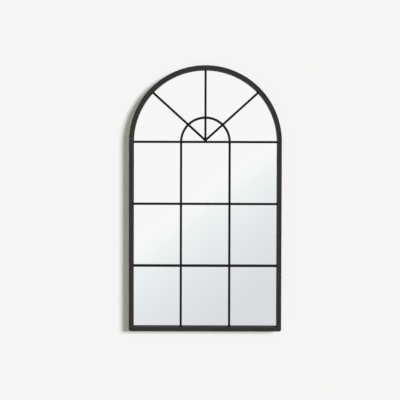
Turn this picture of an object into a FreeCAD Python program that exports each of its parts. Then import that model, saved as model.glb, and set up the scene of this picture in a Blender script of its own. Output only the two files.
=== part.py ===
import FreeCAD, Part
import math
import os
import Sketcher
from FreeCAD import Placement, Rotation, Vector

# Arched window mirror, in millimetres.
#
# +X runs to the viewer's right, +Z is up, and the wall is the plane Y = 0 behind the mirror,
# so the mirror's face looks along -Y. The origin is midway between the two wall hooks, at the
# height where they carry the raised hanger rings. Depths are distances out from the wall.

doc = FreeCAD.newDocument("ArchedWindowMirror")

SIZES = [
    # outline
    ("overall_width", 700, "outside width of the frame"),
    ("overall_height", 1220, "underside of the bottom rail to the top of the arch"),
    ("hook_line_drop", 50, "centreline of the spring bar down to the hook line"),
    # frame tube
    ("tube_face", 20, "width of the tube seen from the front"),
    ("tube_depth", 30, "front to back"),
    ("tube_wall", 2, "steel thickness"),
    ("tube_edge_radius", 2, "rounding along the tube's long edges"),
    ("corner_radius", 9, "outer corner at each bottom mitre, with the wall even all round it"),
    # bars in front of the glass
    ("bar_width", 10, "width of every bar"),
    ("bar_thickness", 10, "front to back"),
    ("bar_edge_radius", 0.6, "rounding along the bars' front edges"),
    ("spoke_angle", 42.2, "outer fan spokes above the horizontal, degrees"),
    ("spoke_hub_rise", 7.5, "where the spokes' centrelines meet, above the spring bar's"),
    # glass and what backs it
    ("glass_recess", 19, "frame front to the front of the glass"),
    ("glass_thickness", 4, "silvered float glass"),
    ("glass_edge_gap", 1.5, "round the glass and the board, inside the frame"),
    ("foam_thickness", 1, "foam tape between glass and board"),
    ("foam_width", 20, "width of one strip of tape"),
    ("foam_side_distance", 88.5, "outer strips' centres from the board's side edges"),
    ("foam_end_margin", 40, "strip's lower end above the glass's lower edge"),
    ("foam_rise", 150, "strip's upper end above the spring line"),
    ("board_thickness", 3, "hardboard"),
    ("spacer_length", 40, "rubber edge spacer, along the frame"),
    ("spacer_corner_distance", 90, "spacer's centre from the frame's inner corner"),
    # retaining clips
    ("clip_thickness", 1.2, "sheet steel"),
    ("clip_width", 16, "along the frame"),
    ("clip_reach", 14, "how far a clip reaches over the board"),
    ("clip_flange", 15, "how far a clip lies on the frame's back"),
    ("clip_web_gap", 0.3, "between the clip's step and the tube"),
    ("clip_corner_distance", 150, "clips' distance from the frame's corners"),
    ("clip_spring_distance", 170, "uppermost side clip below the spring line"),
    ("arch_clip_angle", 50, "between clips on the arch, from the crown, degrees"),
    # pan head screws
    ("screw_diameter", 3.5, "over the thread"),
    ("screw_length", 9.5, "under the head"),
    ("screw_tip", 2, "length of the point"),
    ("screw_head_diameter", 6.5, "pan head"),
    ("screw_head_height", 1.8, "pan head"),
    ("screw_head_rim", 0.8, "height of the head's upright side"),
    ("screw_head_flat", 4.6, "across the flat top of the head"),
    ("screw_recess_width", 3.4, "cross recess, tip to tip"),
    ("screw_recess_arm", 0.9, "width of one arm of the cross"),
    ("screw_recess_depth", 1.1, "cross recess"),
    ("screw_hole_play", 0.1, "hole over thread, on the radius"),
    # ring hangers
    ("strap_thickness", 1, "hanger strap"),
    ("strap_width", 12, "hanger strap"),
    ("strap_length", 44, "ring axis to the strap's lower end"),
    ("strap_end_radius", 4, "corners of the strap's lower end"),
    ("strap_first_screw", 21, "ring axis to the upper screw"),
    ("strap_screw_pitch", 14, "upper screw to lower screw"),
    ("ring_wire", 2.5, "D-ring wire diameter"),
    ("ring_inner_width", 14, "inside the D, across"),
    ("ring_inner_length", 12, "inside the D, bar to bow"),
    ("ring_corner_radius", 2, "centreline, at the bar's two ends"),
    ("ring_play", 0.1, "wire in the strap's loop, on the radius"),
    ("ring_gap", 0.35, "hanging ring to the strap's face"),
    # wall pads
    ("pad_thickness", 6, "stand-off from the wall"),
    ("pad_diameter", 14, "rubber pad"),
    ("pad_edge_radius", 1, "rim of the pad's wall side"),
    ("pad_corner_distance", 40, "lower pad's centre above the frame's lower edge"),
    ("upper_pad_angle", 25, "upper pads on the arch, above the spring line, degrees"),
]

DERIVED = [
    ("half_width", "=overall_width / 2"),
    ("inner_half", "=half_width - tube_face"),
    ("spring_z", "=hook_line_drop"),
    ("base_z", "=spring_z + half_width - overall_height"),
    ("inner_base_z", "=base_z + tube_face"),
    ("frame_back", "=pad_thickness"),
    ("frame_front", "=frame_back + tube_depth"),
    ("glass_front", "=frame_front - glass_recess"),
    ("glass_back", "=glass_front - glass_thickness"),
    ("board_front", "=glass_back - foam_thickness"),
    ("board_back", "=board_front - board_thickness"),
    ("bar_front", "=glass_front + bar_thickness"),
    ("glass_half", "=inner_half - glass_edge_gap"),
    ("glass_base_z", "=inner_base_z + glass_edge_gap"),
    ("cavity_half", "=half_width - tube_wall"),
    ("cavity_base_z", "=base_z + tube_wall"),
    ("cavity_inner_half", "=inner_half + tube_wall"),
    ("cavity_inner_base_z", "=inner_base_z - tube_wall"),
    ("pane_width", "=(2 * inner_half - 2 * bar_width) / 3"),
    ("upright_x", "=(pane_width + bar_width) / 2"),
    ("spring_bar_bottom_z", "=spring_z - bar_width / 2"),
    ("pane_height", "=(spring_bar_bottom_z - inner_base_z - 2 * bar_width) / 3"),
    ("lower_bar_z", "=inner_base_z + pane_height + bar_width / 2"),
    ("upper_bar_z", "=lower_bar_z + pane_height + bar_width"),
    ("hub_z", "=spring_z + spoke_hub_rise"),
    ("tube_centre", "=half_width - tube_face / 2"),
    ("ring_axis_z", "=-(ring_inner_length + ring_wire / 2)"),
    ("ring_axis_depth", "=frame_back - strap_thickness - ring_gap - ring_wire / 2"),
    ("ring_half", "=(ring_inner_width + ring_wire) / 2"),
    ("ring_reach", "=ring_inner_length + ring_wire"),
    ("ring_bow_z", "=ring_axis_z + ring_half - ring_reach"),
    ("loop_bore", "=ring_wire / 2 + ring_play"),
    ("loop_radius", "=loop_bore + strap_thickness"),
]

SHEET = "Sizes"
MARGIN = 5  # how far a cutting shape runs past what it cuts
NEAR = 0.001  # two places closer than this are the same place
WHOLE_TURN = 360
FOAM_STRIPS = 4


# ---------------------------------------------------------------- dimensions

def make_sheet():
    """Writes the driving dimensions and what follows from them, one row each."""
    sheet = doc.addObject("Spreadsheet::Sheet", SHEET)
    rows = [(name, str(value), note) for name, value, note in SIZES]
    rows += [(name, formula, "follows from the rows above") for name, formula in DERIVED]
    for row, (name, content, note) in enumerate(rows, start=1):
        sheet.set(f"A{row}", name)
        sheet.set(f"B{row}", content)
        sheet.set(f"C{row}", note)
        sheet.setAlias(f"B{row}", name)
    doc.recompute()
    return sheet


sizes = make_sheet()


def size(name):
    """A dimension's value, for shapes and placements that are worked out in code."""
    return float(getattr(sizes, name))


def bound(formula):
    """The formula with each dimension's name pointing at its cell."""
    names = {row[0] for row in SIZES} | {row[0] for row in DERIVED}
    word = ""
    text = ""
    for letter in formula + " ":
        if letter.isalnum() or letter == "_":
            word += letter
            continue
        text += f"{SHEET}.{word}" if word in names else word
        text += letter
        word = ""
    return text.strip()


def bind(thing, **formulas):
    """Binds each property of the object to a formula; two underscores stand for a dot."""
    for name, formula in formulas.items():
        thing.setExpression(name.replace("__", "."), bound(formula))


# ---------------------------------------------------------------- sketches and bodies

def new_body(name):
    body = doc.addObject("PartDesign::Body", name)
    body.Label = name
    return body


def new_sketch(body, plane, name, offset="0"):
    """A sketch on one of the body's own planes, moved along the plane's normal."""
    support = next(item for item in body.Origin.OriginFeatures if item.Role == plane)
    sketch = body.newObject("Sketcher::SketchObject", name)
    sketch.AttachmentSupport = [(support, "")]
    sketch.MapMode = "FlatFace"
    bind(sketch, AttachmentOffset__Base__z=offset)
    return sketch


def dimension(sketch, kind, *where, formula):
    """Adds a driving constraint and binds it to a formula."""
    start = evaluate(formula)
    index = sketch.addConstraint(Sketcher.Constraint(kind, *where, start))
    sketch.setExpression(f"Constraints[{index}]", bound(formula))
    return index


def evaluate(formula):
    """The formula's value now, as a plain number."""
    value = sizes.evalExpression(bound(formula))
    return float(getattr(value, "Value", value))


def draw_polygon(sketch, corners):
    """A closed outline through corners, each a pair of formulas from the sketch's origin."""
    points = [Vector(evaluate(x), evaluate(y), 0) for x, y in corners]
    count = len(points)
    for i in range(count):
        sketch.addGeometry(Part.LineSegment(points[i], points[(i + 1) % count]), False)
    for i in range(count):
        sketch.addConstraint(Sketcher.Constraint("Coincident", i, 2, (i + 1) % count, 1))
    for i, (x, y) in enumerate(corners):
        dimension(sketch, "DistanceX", -1, 1, i, 1, formula=x)
        dimension(sketch, "DistanceY", -1, 1, i, 1, formula=y)


def draw_arched_outline(sketch, half, base):
    """A rectangle with a half-round head, centred on the sketch's vertical axis.

    half is half the width and so the head's radius, base the height of the lower edge. The
    head's centre is always on the spring line.
    """
    half_value = evaluate(half)
    base_value = evaluate(base)
    spring = size("spring_z")
    first = sketch.GeometryCount
    corners = [
        Vector(-half_value, base_value, 0),
        Vector(half_value, base_value, 0),
        Vector(half_value, spring, 0),
        Vector(-half_value, spring, 0),
    ]
    lower = first
    right = first + 1
    head = first + 2
    left = first + 3
    circle = Part.Circle(Vector(0, spring, 0), Vector(0, 0, 1), half_value)
    sketch.addGeometry(Part.LineSegment(corners[0], corners[1]), False)
    sketch.addGeometry(Part.LineSegment(corners[1], corners[2]), False)
    sketch.addGeometry(Part.ArcOfCircle(circle, 0, math.pi), False)
    sketch.addGeometry(Part.LineSegment(corners[3], corners[0]), False)
    joins = [(lower, right), (right, head), (head, left), (left, lower)]
    for one, other in joins:
        sketch.addConstraint(Sketcher.Constraint("Coincident", one, 2, other, 1))
    sketch.addConstraint(Sketcher.Constraint("Vertical", right))
    sketch.addConstraint(Sketcher.Constraint("Symmetric", lower, 1, lower, 2, -2))
    sketch.addConstraint(Sketcher.Constraint("PointOnObject", head, 3, -2))
    sketch.addConstraint(Sketcher.Constraint("Horizontal", head, 3, right, 2))
    sketch.addConstraint(Sketcher.Constraint("Horizontal", head, 3, left, 1))
    dimension(sketch, "DistanceX", lower, 1, lower, 2, formula=f"2 * ({half})")
    dimension(sketch, "DistanceY", -1, 1, lower, 1, formula=base)
    dimension(sketch, "DistanceY", -1, 1, head, 3, formula="spring_z")


def draw_half_ring(sketch, inner, outer):
    """A half-round band above the spring line, between two radii."""
    spring = size("spring_z")
    near = evaluate(inner)
    far = evaluate(outer)
    for radius in (near, far):
        circle = Part.Circle(Vector(0, spring, 0), Vector(0, 0, 1), radius)
        sketch.addGeometry(Part.ArcOfCircle(circle, 0, math.pi), False)
    for start, end in ((near, far), (-far, -near)):
        line = Part.LineSegment(Vector(start, spring, 0), Vector(end, spring, 0))
        sketch.addGeometry(line, False)
    small, large, right, left = range(4)
    joins = [(small, 1, right, 1), (right, 2, large, 1), (large, 2, left, 1), (left, 2, small, 2)]
    for join in joins + [(small, 3, large, 3)]:
        sketch.addConstraint(Sketcher.Constraint("Coincident", *join))
    sketch.addConstraint(Sketcher.Constraint("PointOnObject", small, 3, -2))
    sketch.addConstraint(Sketcher.Constraint("Horizontal", small, 3, small, 1))
    sketch.addConstraint(Sketcher.Constraint("Horizontal", small, 3, small, 2))
    sketch.addConstraint(Sketcher.Constraint("Horizontal", right))
    sketch.addConstraint(Sketcher.Constraint("Horizontal", left))
    dimension(sketch, "DistanceY", -1, 1, small, 3, formula="spring_z")
    dimension(sketch, "Radius", small, formula=inner)
    dimension(sketch, "Radius", large, formula=outer)


def draw_circle(sketch, x, y, radius):
    """A circle about a point given by formulas."""
    centre = Vector(evaluate(x), evaluate(y), 0)
    index = sketch.addGeometry(Part.Circle(centre, Vector(0, 0, 1), evaluate(radius)), False)
    dimension(sketch, "DistanceX", -1, 1, index, 3, formula=x)
    dimension(sketch, "DistanceY", -1, 1, index, 3, formula=y)
    dimension(sketch, "Radius", index, formula=radius)


def pad(body, sketch, length, name="Pad", midplane=False):
    """Gives the sketch a thickness along its own normal."""
    feature = body.newObject("PartDesign::Pad", name)
    feature.Profile = sketch
    if midplane:
        feature.SideType = "Symmetric"
    bind(feature, Length=length)
    doc.recompute()
    return feature


def pocket(body, sketch, name, depth=None):
    """Cuts the sketch along its normal to a depth, or both ways through the whole body."""
    before = body.Shape.Volume
    feature = body.newObject("PartDesign::Pocket", name)
    feature.Profile = sketch
    if depth is None:
        feature.Type = "ThroughAll"
        feature.SideType = "Symmetric"
    else:
        feature.Reversed = True
        bind(feature, Length=depth)
    doc.recompute()
    if not body.Shape.Volume < before:
        raise RuntimeError(f"{name} of {body.Label} cut nothing")


def round_edges(body, radius, wanted, name="Fillet"):
    """Rounds the edges of the body's shape that wanted(edge) picks."""
    base = body.Tip
    picked = [f"Edge{i}" for i, edge in enumerate(base.Shape.Edges, start=1) if wanted(edge)]
    feature = body.newObject("PartDesign::Fillet", name)
    feature.Base = (base, picked)
    bind(feature, Radius=radius)
    doc.recompute()
    return feature


def arched_slab(name, half, base, back, thickness):
    """A flat arched sheet, its back at the given depth, growing away from the wall."""
    body = new_body(name)
    sketch = new_sketch(body, "XZ_Plane", f"{name}_outline", offset=back)
    draw_arched_outline(sketch, half, base)
    pad(body, sketch, thickness, name=f"{name}_pad")
    return body


# ---------------------------------------------------------------- booleans

def named(thing, label):
    thing.Label = label
    return thing


def joined(tools, name):
    if len(tools) == 1:
        return tools[0]
    fuse = doc.addObject("Part::MultiFuse", name)
    fuse.Shapes = tools
    return fuse


def cut(label, base, tools):
    """The base with the tools taken away."""
    result = doc.addObject("Part::Cut", label)
    result.Base = base
    result.Tool = joined(tools, f"{label}_tools")
    return named(result, label)


def common(label, one, other):
    """What two shapes share."""
    result = doc.addObject("Part::MultiCommon", label)
    result.Shapes = [one, other]
    return named(result, label)


def block(name, x, z, back, length, thickness, height):
    """A box in front of the given depth, from its lower left corner."""
    box = doc.addObject("Part::Box", name)
    bind(
        box,
        Length=length,
        Width=thickness,
        Height=height,
        Placement__Base__x=x,
        Placement__Base__y=f"-({back}) - ({thickness})",
        Placement__Base__z=z,
    )
    return named(box, name)


def mirrored_sign(side):
    """-1 for the left piece of a pair, 1 for the right one."""
    return -1 if side == "left" else 1


# ---------------------------------------------------------------- screws and clips

def facing(x, z, inward_x, inward_z):
    """Puts local X along the inward direction at a point of the frame's inner edge."""
    turn = math.degrees(math.atan2(-inward_z, inward_x))
    return Placement(Vector(x, 0, z), Rotation(Vector(0, 1, 0), turn))


def clip_places():
    """Ten clips: three on each stile, two on the bottom rail and two on the arch."""
    inner = size("inner_half")
    low = size("inner_base_z") + size("clip_corner_distance")
    high = size("spring_z") - size("clip_spring_distance")
    places = []
    for side in (-1, 1):
        for height in (low, (low + high) / 2, high):
            places.append(facing(side * inner, height, -side, 0))
    for side in (-1, 1):
        across = side * (inner - size("clip_corner_distance"))
        places.append(facing(across, size("inner_base_z"), 0, 1))
    for side in (-1, 1):
        angle = math.radians(90 - side * size("arch_clip_angle") / 2)
        out_x = math.cos(angle)
        out_z = math.sin(angle)
        height = size("spring_z") + inner * out_z
        places.append(facing(inner * out_x, height, -out_x, -out_z))
    return places


def clip_screw_places():
    """Each clip's screw stands on the middle of the tube's back face, outside the clip's step."""
    outward = Vector(-size("tube_face") / 2, 0, 0)
    seat = Vector(0, size("clip_thickness") - size("frame_back"), 0)
    places = []
    for place in clip_places():
        places.append(place.multiply(Placement(outward + seat, Rotation())))
    return places


def hanger_screw_places():
    """Two screws through each hanger strap."""
    seat = size("strap_thickness") - size("frame_back")
    first = size("ring_axis_z") - size("strap_first_screw")
    places = []
    for side in (-1, 1):
        for step in (0, 1):
            height = first - step * size("strap_screw_pitch")
            spot = Vector(side * size("tube_centre"), seat, height)
            places.append(Placement(spot, Rotation()))
    return places


def group_of(label, form, places):
    """One node that holds a separate copy of the form at each place."""
    copies = []
    for place in places:
        copy = form.Shape.copy()
        copy.Placement = place.multiply(form.Shape.Placement)
        copies.append(copy)
    group = doc.addObject("Part::Feature", label)
    group.Shape = Part.makeCompound(copies)
    group.Placement = Placement()
    return named(group, label)


def make_screw_form():
    """Pan head screw along Y, the head's underside at the origin, the point towards -Y."""
    body = new_body("screw_form")
    sketch = new_sketch(body, "XY_Plane", "screw_profile")
    draw_polygon(
        sketch,
        [
            ("0", "screw_head_height"),
            ("screw_head_flat / 2", "screw_head_height"),
            ("screw_head_diameter / 2", "screw_head_rim"),
            ("screw_head_diameter / 2", "0"),
            ("screw_diameter / 2", "0"),
            ("screw_diameter / 2", "screw_tip - screw_length"),
            ("0", "-screw_length"),
        ],
    )
    turned = body.newObject("PartDesign::Revolution", "screw_turned")
    turned.Profile = sketch
    turned.ReferenceAxis = (sketch, ["V_Axis"])
    turned.Angle = WHOLE_TURN
    doc.recompute()

    reach = "screw_recess_width / 2"
    arm = "screw_recess_arm / 2"
    cross = [(reach, f"-{arm}"), (reach, arm), (arm, arm)]
    for _ in range(3):
        cross += [(f"-({y})", x) for x, y in cross[-3:]]
    recess = new_sketch(body, "XZ_Plane", "screw_cross", offset="-screw_head_height")
    draw_polygon(recess, cross)
    pocket(body, recess, "screw_recess", depth="screw_recess_depth")
    return body


def make_hole_tools():
    """Plain holes for every screw, from the wall's side into the tube's hollow."""
    radius = size("screw_diameter") / 2 + size("screw_hole_play")
    length = size("frame_back") + 2 * size("tube_wall")
    holes = []
    for place in clip_screw_places() + hanger_screw_places():
        spot = Vector(place.Base.x, 0, place.Base.z)
        holes.append(Part.makeCylinder(radius, length, spot, Vector(0, -1, 0)))
    tool = doc.addObject("Part::Feature", "screw_holes")
    tool.Shape = Part.makeCompound(holes)
    return tool


def make_clip_form():
    """Offset clip: a flange on the frame's back, a step down and a tongue on the board."""
    body = new_body("clip_form")
    profile = new_sketch(body, "XY_Plane", "clip_profile")
    draw_polygon(
        profile,
        [
            ("-clip_flange", "-frame_back"),
            ("-clip_flange", "clip_thickness - frame_back"),
            ("clip_web_gap + clip_thickness", "clip_thickness - frame_back"),
            ("clip_web_gap + clip_thickness", "clip_thickness - board_back"),
            ("clip_reach", "clip_thickness - board_back"),
            ("clip_reach", "-board_back"),
            ("clip_web_gap", "-board_back"),
            ("clip_web_gap", "-frame_back"),
        ],
    )
    pad(body, profile, "clip_width", name="clip_strip", midplane=True)
    hole = new_sketch(body, "XZ_Plane", "clip_hole_profile", offset="frame_back - clip_thickness")
    draw_circle(hole, "-tube_face / 2", "0", "screw_diameter / 2 + screw_hole_play")
    pocket(body, hole, "clip_hole")
    return body


# ---------------------------------------------------------------- the frame

def is_front_or_back_rim(edge):
    """Does the edge lie in the frame's front or back face?"""
    box = edge.BoundBox
    depths = (size("frame_front"), size("frame_back"))
    return box.YLength < NEAR and any(abs(-box.YMin - depth) < NEAR for depth in depths)


def is_bottom_corner_of(half, base):
    """A test for the two bottom corners, running front to back, of an outline of that size."""

    def wanted(edge):
        box = edge.BoundBox
        at_side = abs(abs(box.XMin) - size(half)) < NEAR and box.XLength < NEAR
        return at_side and box.ZLength < NEAR and abs(box.ZMin - size(base)) < NEAR

    return wanted


def make_tube_ring(screw_holes):
    """The whole frame before it is parted at its joints: a closed arched tube, drilled."""
    body = arched_slab("frame_outside", "half_width", "base_z", "frame_back", "tube_depth")
    light = new_sketch(body, "XZ_Plane", "frame_light", offset="frame_back")
    draw_arched_outline(light, "inner_half", "inner_base_z")
    pocket(body, light, "frame_light_cut")
    outside = is_bottom_corner_of("half_width", "base_z")
    round_edges(body, "corner_radius", outside, name="frame_corners")
    round_edges(body, "tube_edge_radius", is_front_or_back_rim, name="frame_edges")

    hollow = new_body("frame_hollow")
    outline = new_sketch(hollow, "XZ_Plane", "hollow_outline", offset="frame_back + tube_wall")
    draw_arched_outline(outline, "cavity_half", "cavity_base_z")
    draw_arched_outline(outline, "cavity_inner_half", "cavity_inner_base_z")
    pad(hollow, outline, "tube_depth - 2 * tube_wall", name="hollow_pad")
    inside = is_bottom_corner_of("cavity_half", "cavity_base_z")
    round_edges(hollow, "corner_radius - tube_wall", inside, name="hollow_corners")
    return cut("frame_tube_ring", body, [hollow, screw_holes])


def region(name, corners):
    """A thick flat shape over the frame's whole depth, used to part the ring at its joints."""
    body = new_body(name)
    sketch = new_sketch(body, "XZ_Plane", f"{name}_outline", offset=f"frame_back - {MARGIN}")
    draw_polygon(sketch, corners)
    pad(body, sketch, f"tube_depth + 2 * {MARGIN}", name=f"{name}_pad")
    return body


def make_frame(ring):
    """Arch, two stiles and a bottom rail: butt joints at the spring line, mitres below."""
    arch_corners = [
        (f"-half_width - {MARGIN}", "spring_z"),
        (f"half_width + {MARGIN}", "spring_z"),
        (f"half_width + {MARGIN}", f"spring_z + half_width + {MARGIN}"),
        (f"-half_width - {MARGIN}", f"spring_z + half_width + {MARGIN}"),
    ]
    rail_corners = [
        (f"-half_width - {MARGIN}", f"base_z - {MARGIN}"),
        (f"half_width + {MARGIN}", f"base_z - {MARGIN}"),
        (f"inner_half - {MARGIN}", f"inner_base_z + {MARGIN}"),
        (f"-inner_half + {MARGIN}", f"inner_base_z + {MARGIN}"),
    ]
    members = [
        common("frame_arch", ring, region("arch_region", arch_corners)),
        common("frame_bottom_rail", ring, region("rail_region", rail_corners)),
    ]
    for side in ("left", "right"):
        sign = mirrored_sign(side)
        stile_corners = [
            (f"{sign} * (half_width + {MARGIN})", f"base_z - {MARGIN}"),
            (f"{sign} * (inner_half - {MARGIN})", f"inner_base_z + {MARGIN}"),
            (f"{sign} * (inner_half - {MARGIN})", "spring_z"),
            (f"{sign} * (half_width + {MARGIN})", "spring_z"),
        ]
        area = region(f"stile_region_{side}", stile_corners)
        members.append(common(f"frame_stile_{side}", ring, area))
    return members


# ---------------------------------------------------------------- the bars

WHOLE = ("glass_front", "bar_thickness")  # a bar's depth and thickness
BACK_HALF = ("glass_front", "bar_thickness / 2")
FRONT_HALF = ("glass_front + bar_thickness / 2", "bar_thickness / 2")


def straight_bar(name, line, layer=WHOLE):
    """A square-edged bar along a centreline: start x and z, angle from +X to +Z, length."""
    x, z, heading, length = line
    back, thickness = layer
    body = new_body(name)
    face = new_sketch(body, "XZ_Plane", f"{name}_face", offset=back)
    draw_polygon(
        face,
        [
            ("0", "-bar_width / 2"),
            (length, "-bar_width / 2"),
            (length, "bar_width / 2"),
            ("0", "bar_width / 2"),
        ],
    )
    pad(body, face, thickness, name=f"{name}_pad")
    body.Placement = Placement(Vector(), Rotation(Vector(0, 1, 0), -evaluate(heading)))
    bind(
        body,
        Placement__Base__x=x,
        Placement__Base__z=z,
        Placement__Rotation__Angle=f"-({heading})",
    )
    return body


def half_round_bar(name, radius, layer=WHOLE):
    """A square-edged bar bent to a half circle about the middle of the spring line."""
    back, thickness = layer
    body = new_body(name)
    face = new_sketch(body, "XZ_Plane", f"{name}_face", offset=back)
    draw_half_ring(face, f"{radius} - bar_width / 2", f"{radius} + bar_width / 2")
    pad(body, face, thickness, name=f"{name}_pad")
    return body


def is_long_front_edge(edge):
    """Is the edge one of the two that run along a bar's front face?"""
    box = edge.BoundBox
    in_front = box.YLength < NEAR and abs(box.YMin + size("bar_front")) < NEAR
    return in_front and box.XLength > size("bar_width") + NEAR


def eased(bar):
    """The bar with its front edges rounded."""
    round_edges(bar, "bar_edge_radius", is_long_front_edge, name=f"{bar.Label}_edges")
    return bar


def make_bars():
    """Every bar ends on the frame or on another bar, and crossings are half lapped.

    The uprights and the spokes keep their front half at a crossing, and the cross bars and
    the fan arch their back half, so that all front faces are flush.
    """
    rows = {
        "lower": ("-inner_half", "lower_bar_z", "0", "2 * inner_half"),
        "upper": ("-inner_half", "upper_bar_z", "0", "2 * inner_half"),
    }
    spring = ("-half_width", "spring_z", "0", "overall_width")
    columns = {}
    for side in ("left", "right"):
        x = f"{mirrored_sign(side)} * upright_x"
        columns[side] = (x, "inner_base_z", "90", "spring_bar_bottom_z - inner_base_z")
    rays = {
        "left": ("0", "hub_z", "180 - spoke_angle", "half_width"),
        "centre": ("0", "spring_z", "90", "half_width"),
        "right": ("0", "hub_z", "spoke_angle", "half_width"),
    }
    light = arched_slab("frame_light_prism", "inner_half", "inner_base_z", "frame_back", "tube_depth")

    bars = [common("spring_bar", eased(straight_bar("row_spring", spring)), light)]
    column_laps = [straight_bar(f"column_{k}_lap", v, FRONT_HALF) for k, v in columns.items()]
    for key, line in rows.items():
        row = eased(straight_bar(f"row_{key}", line))
        bars.append(cut(f"cross_bar_{key}", row, column_laps))
    row_laps = [straight_bar(f"row_{k}_lap", v, BACK_HALF) for k, v in rows.items()]
    for side, line in columns.items():
        column = eased(straight_bar(f"column_{side}", line))
        bars.append(cut(f"upright_bar_{side}", column, row_laps))

    spring_lap = straight_bar("spring_lap", spring)
    ray_laps = [straight_bar(f"ray_{k}_lap", v, FRONT_HALF) for k, v in rays.items()]
    fan = eased(half_round_bar("fan", "upright_x"))
    bars.append(cut("fan_arch", fan, [spring_lap] + ray_laps))
    fan_lap = half_round_bar("fan_lap", "upright_x", BACK_HALF)
    centre_lap = straight_bar("ray_centre_whole", rays["centre"])
    for key, line in rays.items():
        ray = common(f"ray_{key}_in_frame", eased(straight_bar(f"ray_{key}", line)), light)
        neighbours = [spring_lap, fan_lap]
        if key != "centre":
            neighbours.append(centre_lap)
        bars.append(cut(f"fan_spoke_{key}", ray, neighbours))
    return bars


# ---------------------------------------------------------------- glass, board and what holds them

def make_glass():
    return arched_slab("mirror_glass", "glass_half", "glass_base_z", "glass_back", "glass_thickness")


def make_board():
    return arched_slab("back_board", "glass_half", "glass_base_z", "board_back", "board_thickness")


def make_foam_strips():
    """Upright strips of tape, evenly spaced about the middle."""
    strips = []
    for i in range(FOAM_STRIPS):
        share = f"(2 * {i} / ({FOAM_STRIPS} - 1) - 1)"
        strips.append(
            block(
                f"foam_strip_{i + 1}",
                f"{share} * (glass_half - foam_side_distance) - foam_width / 2",
                "glass_base_z + foam_end_margin",
                "board_front",
                "foam_width",
                "foam_thickness",
                "spring_z + foam_rise - glass_base_z - foam_end_margin",
            )
        )
    return strips


def make_edge_spacers():
    """Rubber blocks that fill the gap round glass and board: two below, two at each side."""
    depth = "glass_front - board_back"
    low = "inner_base_z + spacer_corner_distance - spacer_length / 2"
    high = "spring_z - spacer_corner_distance - spacer_length / 2"
    spacers = []
    for side in ("left", "right"):
        sign = mirrored_sign(side)
        across = f"{sign} * (inner_half - spacer_corner_distance) - spacer_length / 2"
        spacers.append(
            block(
                f"edge_spacer_bottom_{side}",
                across,
                "inner_base_z",
                "board_back",
                "spacer_length",
                depth,
                "glass_edge_gap",
            )
        )
        edge = "-inner_half" if side == "left" else "glass_half"
        for level, z in (("lower", low), ("upper", high)):
            name = f"edge_spacer_{side}_{level}"
            spacers.append(
                block(name, edge, z, "board_back", "glass_edge_gap", depth, "spacer_length")
            )
    return spacers


# ---------------------------------------------------------------- hangers and pads

def make_strap(side):
    """Hanger strap: a plate on the stile's back, curled into a loop round the ring's bar."""
    name = f"hanger_strap_{side}"
    x = f"{mirrored_sign(side)} * tube_centre"
    body = new_body(name)
    outline = new_sketch(body, "XZ_Plane", f"{name}_outline", offset="frame_back - strap_thickness")
    draw_polygon(
        outline,
        [
            (f"{x} - strap_width / 2", "ring_axis_z - strap_length"),
            (f"{x} + strap_width / 2", "ring_axis_z - strap_length"),
            (f"{x} + strap_width / 2", "ring_axis_z"),
            (f"{x} - strap_width / 2", "ring_axis_z"),
        ],
    )
    pad(body, outline, "strap_thickness", name=f"{name}_plate")
    end = size("ring_axis_z") - size("strap_length")

    def is_lower_corner(edge):
        box = edge.BoundBox
        return box.XLength < NEAR and box.ZLength < NEAR and abs(box.ZMin - end) < NEAR

    round_edges(body, "strap_end_radius", is_lower_corner, name=f"{name}_end")
    curl = new_sketch(body, "YZ_Plane", f"{name}_curl", offset=x)
    draw_circle(curl, "-ring_axis_depth", "ring_axis_z", "loop_radius")
    pad(body, curl, "strap_width", name=f"{name}_loop", midplane=True)
    bore = new_sketch(body, "YZ_Plane", f"{name}_bore", offset=x)
    draw_circle(bore, "-ring_axis_depth", "ring_axis_z", "loop_bore")
    pocket(body, bore, f"{name}_eye")
    holes = new_sketch(body, "XZ_Plane", f"{name}_holes", offset="frame_back")
    for drop in ("strap_first_screw", "strap_first_screw + strap_screw_pitch"):
        draw_circle(holes, x, f"ring_axis_z - ({drop})", "screw_diameter / 2 + screw_hole_play")
    pocket(body, holes, f"{name}_drilled")
    return body


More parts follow.
